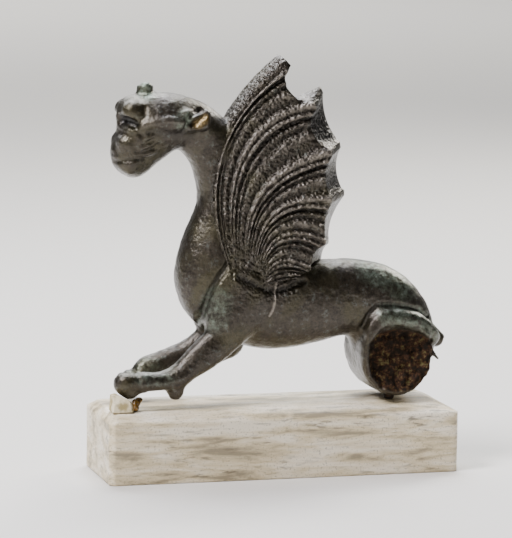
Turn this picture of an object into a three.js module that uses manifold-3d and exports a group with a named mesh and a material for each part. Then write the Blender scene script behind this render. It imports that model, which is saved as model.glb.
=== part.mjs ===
// Winged chimera: a small cast bronze beast on a bevelled stone plinth.
// Millimetres, +Z up. The origin is the centre of the plinth's underside, and the head looks towards -X.
import * as THREE from "three";
import { mergeVertices } from "three/addons/utils/BufferGeometryUtils.js";
import Module from "manifold-3d";

const wasm = await Module();
wasm.setup();

// Driving dimensions
const PLINTH = {
  length: 150,
  depth: 47,
  height: 29,
  frontBevel: { left: 6, right: 16 }, // width of the hand-cut bevel along the front, seen from above
  backBevel: 6,
  endBevel: { left: 3, right: 8 },
  bevelDrop: { left: 3, right: 3.6 },
  cornerCut: 2,
};
const GAP = 0.3; // clearance between separate pieces that touch
const WING = {
  rootZ: 84,
  tipZ: 174,
  rootHalfThickness: 15,
  tipHalfThickness: 4.8,
  ribHeight: 0.9,
  edgeRound: 2.4,
};
const HAUNCH = {
  x: 50.9,
  z: 49.5,
  radius: 18.4,
  face: 14.2,
  breakRadius: 13.4,
  round: 3.6,
  breakDepth: 1.2,
  flatten: 0.84, // the drum is an upright oval
};
const PIN = { x: 49.4, y: -5.6, radius: 2.1, top: 30.35 };
const CHIP = { x: -68.4, y: -13.8, width: 8.6, depth: 8, height: 6.9, flatTo: -69.8, slope: 0.86 };
const BEAD = { x: -61.9, y: -13.4, width: 2.9, depth: 6.4, height: 3.3 };

// Small mathematics

const lerp = (a, b, t) => a + (b - a) * t;
const signedPower = (v, p) => Math.sign(v) * Math.abs(v) ** p;
const bump = (v, centre, width) => Math.exp(-(((v - centre) / width) ** 2));

// Catmull-Rom through a list of stations, each a list of numbers, at t from 0 to 1.
function stationAt(stations, t) {
  const last = stations.length - 1;
  const i = Math.min(last - 1, Math.floor(t * last));
  const f = t * last - i;
  const [a, b, c, d] = [-1, 0, 1, 2].map((k) => stations[Math.min(last, Math.max(0, i + k))]);
  return b.map((_, n) => {
    const [p0, p1, p2, p3] = [a[n], b[n], c[n], d[n]];
    const bend = 2 * p0 - 5 * p1 + 4 * p2 - p3 + (3 * p1 - p0 - 3 * p2 + p3) * f;
    return p1 + 0.5 * f * (p2 - p0 + f * bend);
  });
}

function cubic(p, t) {
  const s = 1 - t;
  const weights = [s * s * s, 3 * s * s * t, 3 * s * t * t, t * t * t];
  return [0, 1].map((n) => p.reduce((sum, q, k) => sum + q[n] * weights[k], 0));
}

function quadratic(p, t) {
  const s = 1 - t;
  return [0, 1].map((n) => p[0][n] * s * s + 2 * p[1][n] * s * t + p[2][n] * t * t);
}

// Solids

function solidOf(geometry) {
  geometry.deleteAttribute("normal");
  geometry.deleteAttribute("uv");
  const merged = mergeVertices(geometry, 1e-4);
  const triVerts = new Uint32Array(merged.index.array);
  const vertProperties = new Float32Array(merged.attributes.position.array);
  const make = () => new wasm.Manifold(new wasm.Mesh({ numProp: 3, vertProperties, triVerts }));
  let made = make();
  if (made.volume() < 0) {
    for (let i = 0; i < triVerts.length; i += 3) {
      [triVerts[i + 1], triVerts[i + 2]] = [triVerts[i + 2], triVerts[i + 1]];
    }
    made = make();
  }
  return made;
}

function geometryOf(solid) {
  const mesh = solid.getMesh();
  const positions = new Float32Array(mesh.numVert * 3);
  for (let i = 0; i < mesh.numVert; i++) {
    positions.set(mesh.vertProperties.subarray(i * mesh.numProp, i * mesh.numProp + 3), i * 3);
  }
  const geometry = new THREE.BufferGeometry();
  geometry.setAttribute("position", new THREE.BufferAttribute(positions, 3));
  geometry.setIndex(new THREE.BufferAttribute(mesh.triVerts, 1));
  geometry.computeVertexNormals();
  return geometry;
}

function deform(geometry, place) {
  const at = geometry.attributes.position;
  for (let i = 0; i < at.count; i++) {
    at.setXYZ(i, ...place(at.getX(i), at.getY(i), at.getZ(i)));
  }
  return geometry;
}

// A limb or trunk skinned over stations [outer x, outer z, inner x, inner z, half width, y].
// Outer and inner are the two edges of the form in side view. Its ends round off over the given share.
function limb(stations, { sides = 20, rings = 16, ends = [0.06, 0.06], square = 2.3 } = {}) {
  const ball = new THREE.SphereGeometry(1, sides, rings);
  return solidOf(
    deform(ball, (x, y, z) => {
      const polar = Math.acos(Math.min(1, Math.max(-1, y)));
      const t = lerp((1 - y) / 2, polar / Math.PI, 0.75);
      const [ox, oz, ix, iz, w, cy] = stationAt(stations, t);
      const cap = Math.min(1, t / ends[0], (1 - t) / ends[1]);
      const size = polar < 1e-6 || polar > Math.PI - 1e-6 ? 0 : Math.sqrt(Math.max(0, 1 - (1 - cap) ** 2));
      const turn = Math.atan2(z, x);
      const c = size * signedPower(Math.cos(turn), 2 / square);
      const s = size * signedPower(Math.sin(turn), 2 / square);
      return [lerp(ix, ox, 0.5 + 0.5 * c), cy + w * s, lerp(iz, oz, 0.5 + 0.5 * c)];
    }),
  );
}

function blob([x, y, z], [rx, ry, rz], tilt = 0, detail = 10) {
  const ball = new THREE.SphereGeometry(1, detail, Math.round(detail * 0.7));
  ball.scale(rx, ry, rz).rotateY(tilt).translate(x, y, z);
  return solidOf(ball);
}

function spike(from, to, radius, tipRadius, sides = 8) {
  const axis = new THREE.Vector3(...to).sub(new THREE.Vector3(...from));
  const cone = new THREE.CylinderGeometry(tipRadius, radius, axis.length(), sides);
  cone.translate(0, axis.length() / 2, 0);
  const turn = new THREE.Quaternion().setFromUnitVectors(new THREE.Vector3(0, 1, 0), axis.normalize());
  cone.applyQuaternion(turn).translate(...from);
  return solidOf(cone);
}

const joined = (solids) => solids.reduce((all, one) => all.add(one));

// The figure's forms, near side at -Y

// From the throat down the neck, round the chest, along the trunk and down into the haunch.
function trunk() {
  return limb(
    [
      [-42.4, 137, -24, 149, 9.6, 0],
      [-36, 127.5, -15, 137, 9.4, 0],
      [-33.3, 116, -12, 120, 9.6, 0],
      [-35.6, 107, -11, 108, 10.8, 0],
      [-39.8, 96.3, -9, 98, 12.6, 0],
      [-42.8, 82, -3, 90.5, 14, 0],
      [-38.4, 68, 8, 88.2, 14.8, 0],
      [-27, 57.6, 16, 88, 14.8, 0],
      [-10, 52, 24, 88, 14.4, 0],
      [6, 51.2, 32, 88, 13.8, 0],
      [20, 53.8, 41, 87, 13.2, 0],
      [30.6, 55.8, 52, 83.4, 12.8, 0],
      [33.8, 52.4, 62, 75.5, 12.8, 0],
      [35.8, 43.6, 68.6, 64, 13, 0],
      [42, 34.4, 70.4, 51, 12.6, 0],
      [52, 31.8, 64, 39, 11.6, 0],
    ],
    { sides: 22, rings: 34, ends: [0.02, 0.05], square: 2.35 },
  );
}

// From inside the neck over the crown, then down the brow to the muzzle.
function head() {
  return limb(
    [
      [-17, 143, -37, 131, 9.4, 0],
      [-28.6, 152.6, -41.4, 134.8, 11, 0],
      [-38, 156.8, -44.4, 134.3, 12.6, 0],
      [-48, 158.6, -46.8, 132.4, 13.2, 0],
      [-57, 158.7, -48.6, 131, 13, 0],
      [-65.4, 156.2, -50, 129.8, 12, 0],
      [-68.2, 149.2, -51.4, 128.6, 10.4, 0],
      [-67.6, 143.2, -53, 127.2, 9.2, 0],
      [-70.2, 136.4, -55.4, 125.4, 8.8, 0],
      [-69.4, 129.2, -58.6, 123.6, 7.6, 0],
      [-64.6, 124.6, -61.6, 123.4, 5, 0],
    ],
    { sides: 20, rings: 22, ends: [0.03, 0.07], square: 2.5 },
  );
}

function faceRelief(side) {
  return [
    blob([-63.8, side * 6.4, 151.8], [3, 3, 3]), // brow over the eye
    blob([-56.5, side * 8.6, 136], [5.4, 3, 2.2], 0.7), // lip fold
    limb(
      [
        [-43, 146, -41, 142.5, 1.6, side * 11.6],
        [-38, 149.6, -36.2, 143.6, 2.6, side * 12],
        [-34, 151.6, -32.8, 144.4, 2.4, side * 12],
        [-31, 151.8, -31, 149.5, 1.2, side * 11.2],
      ],
      { sides: 8, rings: 6, ends: [0.2, 0.2] },
    ),
  ];
}

// The upper arm is a raised oval on the side of the chest.
const upperArm = (side) =>
  limb(
    [
      [-22.4, 88, -6, 84, 4.5, side * 9.6],
      [-29, 81.6, -3.4, 77, 5.8, side * 9.8],
      [-31, 73, -5.6, 68, 6.2, side * 9.9],
      [-32.2, 64, -12, 59, 6, side * 10],
      [-31, 58, -19, 54.6, 5.2, side * 10.4],
    ],
    { sides: 14, rings: 10, ends: [0.16, 0.16] },
  );

// The forearms reach forwards and down to the paws. The far one is shorter and its elbow hangs lower.
const NEAR_FOREARM = [
  [-27, 64, -14, 57, 5, -10.6],
  [-33, 60, -20.4, 51.6, 5, -11],
  [-41, 52.2, -30.2, 45, 4.9, -11.6],
  [-46, 47.2, -37.4, 41.2, 4.8, -12],
  [-51.6, 44.8, -43.4, 37.4, 4.9, -12.2],
  [-58, 45, -53, 36.6, 5.1, -12.4],
  [-64.6, 45, -63, 36, 4.8, -12.6],
];
const FAR_FOREARM = [
  [-24, 65, -8.6, 52.4, 5, 10.6],
  [-30, 58.4, -12.6, 46.6, 5, 11],
  [-38, 52.6, -22, 43.2, 4.9, 11.6],
  [-45, 50, -31, 40, 4.8, 12],
  [-50, 48.3, -37.6, 36, 4.9, 12.2],
  [-54.4, 46.4, -45, 33.8, 5.1, 12.4],
  [-57.4, 42.4, -56, 33, 4.8, 12.6],
];
const forearm = (stations) => limb(stations, { sides: 14, rings: 14, ends: [0.06, 0.05], square: 2.2 });

// A paw is a big round toe, a smaller one beside it and a knob below the wrist.
const paw = (side, shift, drop) => [
  blob([shift - 66.6, side * 13, 40.4 - drop], [5, 5, 4.8], 0, 12),
  blob([shift - 65.6, side * 8.6, 39.6 - drop], [4.2, 3.4, 4.2]),
  limb(
    [
      [shift - 40.6, 41.4, shift - 47.6, 42, 3.6, side * 12.2],
      [shift - 41.4, 37, shift - 48.4, 37.4, 3.4, side * 12.2],
      [shift - 42.6, 32.6 - drop * 0.4, shift - 47.8, 32.6 - drop * 0.4, 2.8, side * 12.2],
    ],
    { sides: 10, rings: 6, ends: [0.3, 0.3] },
  ),
];
const FAR_PAW = { shift: 7, drop: 3.6 };

// The thighs end in one drum across the body, broken off flat on the near and the far side.
function haunch() {
  const { x, z, radius, face, breakRadius, round, breakDepth, flatten } = HAUNCH;
  const half = [
    new THREE.Vector2(0, face - breakDepth),
    new THREE.Vector2(breakRadius - 1.4, face - breakDepth * 0.6),
    new THREE.Vector2(breakRadius, face),
  ];
  for (let k = 0; k <= 3; k++) {
    const a = (k / 3) * (Math.PI / 2);
    half.push(
      new THREE.Vector2(radius - round + round * Math.sin(a), face - round + round * Math.cos(a)),
    );
  }
  const mirrored = half.map((p) => new THREE.Vector2(p.x, -p.y)).reverse();
  const drum = new THREE.LatheGeometry([...half, ...mirrored], 32);
  return solidOf(drum.scale(flatten, 1, 1).translate(x, 0, z));
}

// Wings

// Each feather line in side view: root, two control points, tip on the outer face.
const FEATHERS = [
  [[-20, 80.5], [-38.5, 112], [-31, 147], [2.6, 172.8]],
  [[-18.6, 84], [-30, 123], [-14, 150.6], [13.9, 154]],
  [[-15.4, 86], [-19.4, 113], [-6.3, 127.8], [20.9, 134.4]],
  [[-12, 86], [-13.4, 105.9], [-0.4, 117.9], [20.6, 114.7]],
  [[-9.6, 84.6], [-9.3, 99.3], [2.8, 105.6], [18.2, 97.9]],
  [[-8.4, 82], [-5.1, 91.8], [2.6, 91.7], [11.4, 86.9]],
  [[-8, 79.4], [-5.3, 81.6], [0.3, 81.9], [5.5, 82.6]],
];
// The scallop before each next tip: curve handle and notch, on the outer face and on the mid-plane.
const OUTER_SCALLOPS = [
  [[-1.6, 162], [7.4, 155.5]],
  [[9, 146.5], [14.9, 138.2]],
  [[16.9, 126.7], [18.5, 119.7]],
  [[17, 107.8], [17.8, 99.6]],
  [[12.1, 93.9], [11.6, 88.6]],
  [[9, 84.6], [6.6, 83.4]],
];
const MID_TIPS = [[4.2, 172], [18.8, 160.6], [27.6, 137.4], [30, 117], [23.6, 96.6], [15, 86.4], [6, 82]];
const MID_SCALLOPS = [
  [[1.4, 160.5], [9.2, 156.9]],
  [[19.4, 147], [26.6, 138.2]],
  [[24, 127], [28.8, 117.8]],
  [[23, 106], [23.4, 97.8]],
  [[20.6, 93], [20.4, 88.4]],
  [[9, 84], [7, 83]],
];
const NOTCH_AT = 5 / 6; // share of a feather's width at which its scallop ends and the next tip begins
const OUTER_TIPS = FEATHERS.map((line) => line[3]);

function edgeAt(tips, scallops, v) {
  const i = Math.min(scallops.length - 1, Math.floor(v * scallops.length));
  const f = v * scallops.length - i;
  const [handle, notch] = scallops[i];
  if (f <= NOTCH_AT) return quadratic([tips[i], handle, notch], f / NOTCH_AT);
  const g = (f - NOTCH_AT) / (1 - NOTCH_AT);
  return [lerp(notch[0], tips[i + 1][0], g), lerp(notch[1], tips[i + 1][1], g)];
}

// Three ridges and a broad flat band on each feather, fading out at the root.
function ribAt(u, v) {
  const f = (v * (FEATHERS.length - 1)) % 1;
  const ridges = bump(f, 0.02, 0.08) + bump(f, 1.02, 0.08) + bump(f, 0.24, 0.06) + 0.7 * bump(f, 0.46, 0.05);
  return WING.ribHeight * (ridges + 0.5 * bump(f, 0.74, 0.12)) * Math.min(1, u * 4);
}

function wingPoint(u, v, d) {
  const across = 2 * d - 1;
  const last = FEATHERS.length - 1;
  const flat = stationAt(FEATHERS.map((line) => line.flat()), v);
  const end = edgeAt(OUTER_TIPS, OUTER_SCALLOPS, v);
  const handles = [[flat[0], flat[1]], [flat[2], flat[3]], [flat[4], flat[5]], end];
  let [x, z] = cubic(handles, u);
  const share = (z - WING.rootZ) / (WING.tipZ - WING.rootZ);
  const half = lerp(WING.rootHalfThickness, WING.tipHalfThickness, Math.max(-0.2, Math.min(1, share)));
  if (u === 1 && v > 0 && v < 1) {
    const [mx, mz] = edgeAt(MID_TIPS, MID_SCALLOPS, v);
    const inner = 1 - Math.abs(across);
    x = lerp(x, mx, inner);
    z = lerp(z, mz, inner);
  } else if (v === 0) {
    const [ax, az] = cubic(handles, Math.min(1, u + 0.01));
    const [bx, bz] = cubic(handles, Math.max(0, u - 0.01));
    const run = Math.hypot(ax - bx, az - bz);
    const out = WING.edgeRound * (Math.sqrt(1 - across * across) - 0.6);
    x -= ((az - bz) / run) * out;
    z += ((ax - bx) / run) * out;
  }
  const rib = Math.abs(across) === 1 && v > 0 && v < 1 && u < 1 ? ribAt(u, v) : 0;
  return [x, across * (half + (v * last > 0.1 ? rib : 0)), z];
}

// Both wings are swept up and pressed together, so they are one slab with a ribbed face on each side.
function wings() {
  const box = new THREE.BoxGeometry(1, 1, 1, 12, 4, 48);
  return solidOf(deform(box, (x, y, z) => wingPoint(x + 0.5, z + 0.5, y + 0.5)));
}

function figure() {
  const sides = [-1, 1].flatMap((side) => [...faceRelief(side), upperArm(side)]);
  return joined([
    trunk(),
    head(),
    haunch(),
    wings(),
    ...sides,
    forearm(NEAR_FOREARM),
    forearm(FAR_FOREARM),
    ...paw(-1, 0, 0),
    ...paw(1, FAR_PAW.shift, FAR_PAW.drop),
    blob([-64.4, -12.6, 36.2], [3.8, 3.8, 2.8]), // pad of the near toe
    spike([-56.4, 0, 155], [-56.2, 0, 163], 3.7, 3), // broken stub on the crown
    spike([66, 0, 57], [74.6, 0, 51.4], 5.4, 1.6), // broken root of the tail
    spike([66, -9, 49.8], [70.4, -9, 45.2], 1.4, 0.3, 6), // thorn of metal left at the break
  ]);
}

// Stone, glue and pin

function plinth() {
  const { length, depth, height, frontBevel, backBevel, endBevel, bevelDrop, cornerCut } = PLINTH;
  const block = new THREE.CylinderGeometry(1, 1, 1, 8, 2);
  return solidOf(
    deform(block, (x, y, z) => {
      if (Math.hypot(x, z) < 1e-6) return [0, 0, y > 0 ? height : 0];
      const corner = Math.round((Math.atan2(z, x) / Math.PI) * 4 + 8) % 8;
      const [sx, sy, alongX] = [
        [1, -1, 0],
        [1, 1, 0],
        [1, 1, 1],
        [-1, 1, 1],
        [-1, 1, 0],
        [-1, -1, 0],
        [-1, -1, 1],
        [1, -1, 1],
      ][corner];
      const right = sx > 0;
      const top = y > 0.25;
      const endInset = top ? (right ? endBevel.right : endBevel.left) : 0;
      const front = right ? frontBevel.right : frontBevel.left;
      const sideInset = top ? (sy < 0 ? front : backBevel) : 0;
      const px = sx * (length / 2 - endInset - (alongX ? cornerCut : 0));
      const py = sy * (depth / 2 - sideInset - (alongX ? 0 : cornerCut));
      const drop = right ? bevelDrop.right : bevelDrop.left;
      return [px, py, y < -0.25 ? 0 : top ? height : height - drop];
    }),
  );
}

// A broken chip: seven sides of unequal length, its top level at the front and falling away under the toe.
function supportStone() {
  const { x: cx, y: cy, width, depth, height, flatTo, slope } = CHIP;
  const chip = new THREE.CylinderGeometry(0.5, 0.5, 1, 7, 1);
  return solidOf(
    deform(chip, (x, y, z) => {
      const reach = Math.hypot(x, z) < 1e-6 ? 0 : 1 + 0.12 * Math.sin(5.3 * Math.atan2(z, x));
      const px = cx + x * width * reach;
      const top = PLINTH.height + height - slope * Math.max(0, px - flatTo);
      return [px, cy + z * depth * reach, y > 0 ? top : PLINTH.height + GAP];
    }),
  );
}

function adhesiveBead() {
  const { x: cx, y: cy, width, depth, height } = BEAD;
  const bead = new THREE.CylinderGeometry(0.36, 0.5, 1, 12, 3);
  bead.rotateX(Math.PI / 2).scale(width, depth, height);
  return solidOf(bead.translate(cx, cy, PLINTH.height + GAP + height / 2));
}

function mountingPin() {
  const pin = new THREE.CylinderGeometry(PIN.radius, PIN.radius, PIN.top - PLINTH.height - GAP, 24);
  pin.rotateX(Math.PI / 2);
  return solidOf(pin.translate(PIN.x, PIN.y, (PIN.top + PLINTH.height + GAP) / 2));
}

// Assembly

const MATERIALS = {
  bronze: { color: 0x4a4840, roughness: 0.55, metalness: 0.7 },
  marble: { color: 0xd8cdb8, roughness: 0.3, metalness: 0 },
  limestone: { color: 0xcfc3a0, roughness: 0.7, metalness: 0 },
  resin: { color: 0x8a5a1c, roughness: 0.2, metalness: 0 },
  steel: { color: 0x26261f, roughness: 0.5, metalness: 0.6 },
};

function meshOf(name, solid, material) {
  const mesh = new THREE.Mesh(geometryOf(solid), new THREE.MeshStandardMaterial(MATERIALS[material]));
  mesh.name = name;
  return mesh;
}

const beast = figure();
const pin = mountingPin();
const chip = supportStone();
const bead = adhesiveBead();

const chimera = new THREE.Group();
chimera.add(
  meshOf("figure", beast, "bronze"),
  meshOf("plinth", plinth(), "marble"),
  meshOf("support_stone", chip, "limestone"),
  meshOf("adhesive_bead", bead, "resin"),
  meshOf("mounting_pin", pin, "steel"),
);

export default chimera;
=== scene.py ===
import math

import bmesh
import bpy
import numpy as np
from mathutils import Matrix, Vector, noise


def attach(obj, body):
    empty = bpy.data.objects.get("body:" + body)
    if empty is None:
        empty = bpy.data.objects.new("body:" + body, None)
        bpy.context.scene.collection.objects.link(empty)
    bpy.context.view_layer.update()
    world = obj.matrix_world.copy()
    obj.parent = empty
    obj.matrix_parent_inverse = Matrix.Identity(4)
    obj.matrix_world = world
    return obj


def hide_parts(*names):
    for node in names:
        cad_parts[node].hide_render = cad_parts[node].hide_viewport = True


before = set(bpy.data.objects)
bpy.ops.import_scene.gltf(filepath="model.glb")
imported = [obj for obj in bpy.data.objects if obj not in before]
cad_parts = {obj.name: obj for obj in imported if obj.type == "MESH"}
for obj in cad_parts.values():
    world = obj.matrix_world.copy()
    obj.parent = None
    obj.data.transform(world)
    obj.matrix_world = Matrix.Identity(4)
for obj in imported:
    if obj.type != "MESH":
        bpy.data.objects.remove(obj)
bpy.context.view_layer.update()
mm = 0.001  # the forms are shaped in millimetres and scaled to metres at the end


# camera, at the photograph's viewing angle

view = {
    "place": (-0.3423, -1.1912, 0.2508),
    "yaw": 15.68,
    "pitch": 7.65,  # looking down
    "roll": 0.75,
    "lens": 200.7,  # for an image 538 high on a 36 mm sensor
}


def addCamera(view):
    yaw, pitch, roll = [math.radians(view[key]) for key in ("yaw", "pitch", "roll")]
    ahead = Vector((math.sin(yaw) * math.cos(pitch), math.cos(yaw) * math.cos(pitch), -math.sin(pitch)))
    right = Vector((math.cos(yaw), -math.sin(yaw), 0))
    up = right.cross(ahead)
    across = math.cos(roll) * right + math.sin(roll) * up
    upright = math.cos(roll) * up - math.sin(roll) * right
    data = bpy.data.cameras.new("camera")
    data.lens = view["lens"]
    data.clip_start = 0.05
    camera = bpy.data.objects.new("camera", data)
    bpy.context.collection.objects.link(camera)
    turn = Matrix((across, upright, -ahead)).transposed().to_4x4()
    camera.matrix_world = Matrix.Translation(view["place"]) @ turn
    bpy.context.scene.camera = camera


addCamera(view)
print("camera set")


# small helpers


def mix(a, b, share):
    return a + (b - a) * share


def smoothStep(value, low, high):
    share = np.clip((value - low) / (high - low), 0, 1)
    return share * share * (3 - 2 * share)


def power(value, exponent):
    return math.copysign(abs(value) ** exponent, value)


def stationAt(stations, t):
    # Catmull-Rom through the stations
    last = len(stations) - 1
    i = min(last - 1, int(t * last))
    f = t * last - i
    a, b, c, d = [stations[min(last, max(0, i + k))] for k in (-1, 0, 1, 2)]
    return [
        q + 0.5 * f * (r - p + f * (2 * p - 5 * q + 4 * r - s + (3 * q - p - 3 * r + s) * f))
        for p, q, r, s in zip(a, b, c, d)
    ]


def skinForm(bm, stations, sides=40, rings=60, ends=(0.06, 0.06), square=2.3, section=None):
    # stations are [outer x, outer z, inner x, inner z, half width, y]
    # section gives the width at each place from the inner edge (-1) to the outer (1)
    for vert in bmesh.ops.create_uvsphere(bm, u_segments=sides, v_segments=rings, radius=1)["verts"]:
        x, y, z = vert.co
        polar = math.acos(min(1, max(-1, z)))
        t = mix((1 - z) / 2, polar / math.pi, 0.75)
        ox, oz, ix, iz, width, cy = stationAt(stations, t)
        cap = min(1, t / ends[0], (1 - t) / ends[1])
        size = 0 if polar < 1e-5 or polar > math.pi - 1e-5 else math.sqrt(max(0, 1 - (1 - cap) ** 2))
        turn = math.atan2(y, x)
        c = size * power(math.cos(turn), 2 / square)
        s = size * power(math.sin(turn), 2 / square)
        if section:
            c = size * math.cos(turn)
            s = size * math.copysign(float(np.interp(math.cos(turn), *zip(*section))), math.sin(turn))
        vert.co = (mix(ix, ox, 0.5 + 0.5 * c), cy + width * s, mix(iz, oz, 0.5 + 0.5 * c))


def addBall(bm, centre, radii, tilt=0.0):
    turn = Matrix.Rotation(tilt, 4, "Y")
    made = bmesh.ops.create_uvsphere(bm, u_segments=28, v_segments=20, radius=1)["verts"]
    bmesh.ops.scale(bm, vec=radii, verts=made)
    bmesh.ops.transform(bm, matrix=Matrix.Translation(centre) @ turn, verts=made)


def addSpike(bm, start, end, radius, tipRadius, sides=20):
    axis = Vector(end) - Vector(start)
    turn = axis.to_track_quat("Z", "Y").to_matrix().to_4x4()
    place = Matrix.Translation(Vector(start) + axis / 2) @ turn
    bmesh.ops.create_cone(
        bm, cap_ends=True, segments=sides, radius1=radius, radius2=tipRadius, depth=axis.length, matrix=place
    )


def fuse(bm, voxel):
    # joins overlapping closed forms into one skin
    mesh = bpy.data.meshes.new("forms")
    bm.to_mesh(mesh)
    bm.free()
    forms = bpy.data.objects.new("forms", mesh)
    bpy.context.collection.objects.link(forms)
    remesh = forms.modifiers.new("skin", "REMESH")
    remesh.mode = "VOXEL"
    remesh.voxel_size = voxel
    skinned = bpy.data.meshes.new_from_object(forms.evaluated_get(bpy.context.evaluated_depsgraph_get()))
    bpy.data.objects.remove(forms)
    fused = bmesh.new()
    fused.from_mesh(skinned)
    return fused


def relax(bm, passes, factor=0.5):
    for _ in range(passes):
        bmesh.ops.smooth_vert(bm, verts=bm.verts, factor=factor, use_axis_x=True, use_axis_y=True, use_axis_z=True)


def pathDistance(flat, path):
    # distance in side view from each point to a line of points
    nearest = np.full(len(flat), 1e9)
    for a, b in zip(path[:-1], path[1:]):
        a, b = np.array(a, float), np.array(b, float)
        run = b - a
        share = np.clip(((flat - a) @ run) / max(run @ run, 1e-9), 0, 1)
        nearest = np.minimum(nearest, np.linalg.norm(flat - a - share[:, None] * run, axis=1))
    return nearest


def insideDepth(flat, outline):
    # positive inside the closed outline, in side view
    inside = np.zeros(len(flat), bool)
    for (ax, az), (bx, bz) in zip(outline, outline[1:] + outline[:1]):
        crosses = (az > flat[:, 1]) != (bz > flat[:, 1])
        inside ^= crosses & (flat[:, 0] < (bx - ax) * (flat[:, 1] - az) / ((bz - az) or 1e-9) + ax)
    away = pathDistance(flat, outline + outline[:1])
    return np.where(inside, away, -away)


layerNames = ("u", "v", "d", "tone", "earth", "bloomAndHighlight", "ochre", "crust")


class Skin:
    # the points, normals and tone of a skin while it is being worked; the tone paints raised places lighter (rubbed
    # wear and painted highlight) and sunk places darker (painted shade)
    def __init__(self, bm):
        self.bm = bm
        bm.verts.ensure_lookup_table()
        self.tone = np.zeros(len(bm.verts))
        self.earth = np.zeros(len(bm.verts))
        self.refresh()

    def refresh(self):
        self.bm.normal_update()
        self.points = np.array([vert.co for vert in self.bm.verts])
        self.normals = np.array([vert.normal for vert in self.bm.verts])

    def store(self):
        for vert, point in zip(self.bm.verts, self.points):
            vert.co = point

    def work(self, path, radius, height, sides=(-1, 1), tone=0.0):
        # raises or presses the skin along a line drawn in side view, and paints raised lines lighter (rubbed wear and
        # painted highlight) and pressed lines darker (painted shade)
        reach = np.clip(1 - (pathDistance(self.points[:, [0, 2]], path) / radius) ** 2, 0, 1) ** 2
        for side in sides:
            weight = reach * smoothStep(self.points[:, 1] * side, 0.5, 3.5)
            self.points += self.normals * (weight * height)[:, None]
            self.tone += weight * (tone or height * 0.35)


# materials


def colour(code):
    parts = [int(code[i : i + 2], 16) / 255 for i in (1, 3, 5)]
    return [p / 12.92 if p <= 0.04045 else ((p + 0.055) / 1.055) ** 2.4 for p in parts] + [1]


def addNode(tree, kind, sockets=None, stops=(), **settings):
    # stops are a ramp's places with their shades
    made = tree.nodes.new("ShaderNode" + kind)
    for key, value in settings.items():
        setattr(made, key, value)
    for key, value in (sockets or {}).items():
        if isinstance(value, bpy.types.NodeSocket):
            tree.links.new(value, made.inputs[key])
        else:
            made.inputs[key].default_value = value
    for _ in stops[2:]:
        made.color_ramp.elements.new(0.5)
    for index, (place, shade) in enumerate(stops):
        made.color_ramp.elements[index].position = place
        made.color_ramp.elements[index].color = colour(shade) if isinstance(shade, str) else (shade, shade, shade, 1)
    return made


def newMaterial(name):
    material = bpy.data.materials.new(name)
    material.use_nodes = True
    tree = material.node_tree
    shader = tree.nodes["Principled BSDF"]
    where = addNode(tree, "TexCoord").outputs["Object"]
    return material, tree, shader, where


def perMm(size):
    return 1000 / size  # texture scale for a pattern of that size in millimetres


castBronze = {
    "dark": "#2a231b",
    "body": "#3c352b",
    "blueGrey": "#5d625e",
    "olive": "#403b26",
    # pale colour of raised places, partly rubbed wear and partly painted highlight; then near-black painted shade for
    # sunk places
    "rubbedAndHighlight": "#9a9186",
    "grooveShade": "#110d0a",
    # pale green bloom, partly patina and partly painted highlight on lit parts
    "bloomAndHighlight": "#7b8a7a",
    "core": "#1f1810",
    "coreOlive": "#6b6340",
    "coreRust": "#4a3120",
    # yellow-brown inside the ears, partly their own colour and partly painted highlight
    "ochre": "#7a6434",
    "grain": 1.0,
    "relief": 0.0004,
    "mottle": 2.4,
    "cloud": 15,
    "roughness": (0.28, 0.42),
    "metallic": 0.75,
    "wax": 0.4,
    "waxRoughness": 0.27,
}


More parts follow.
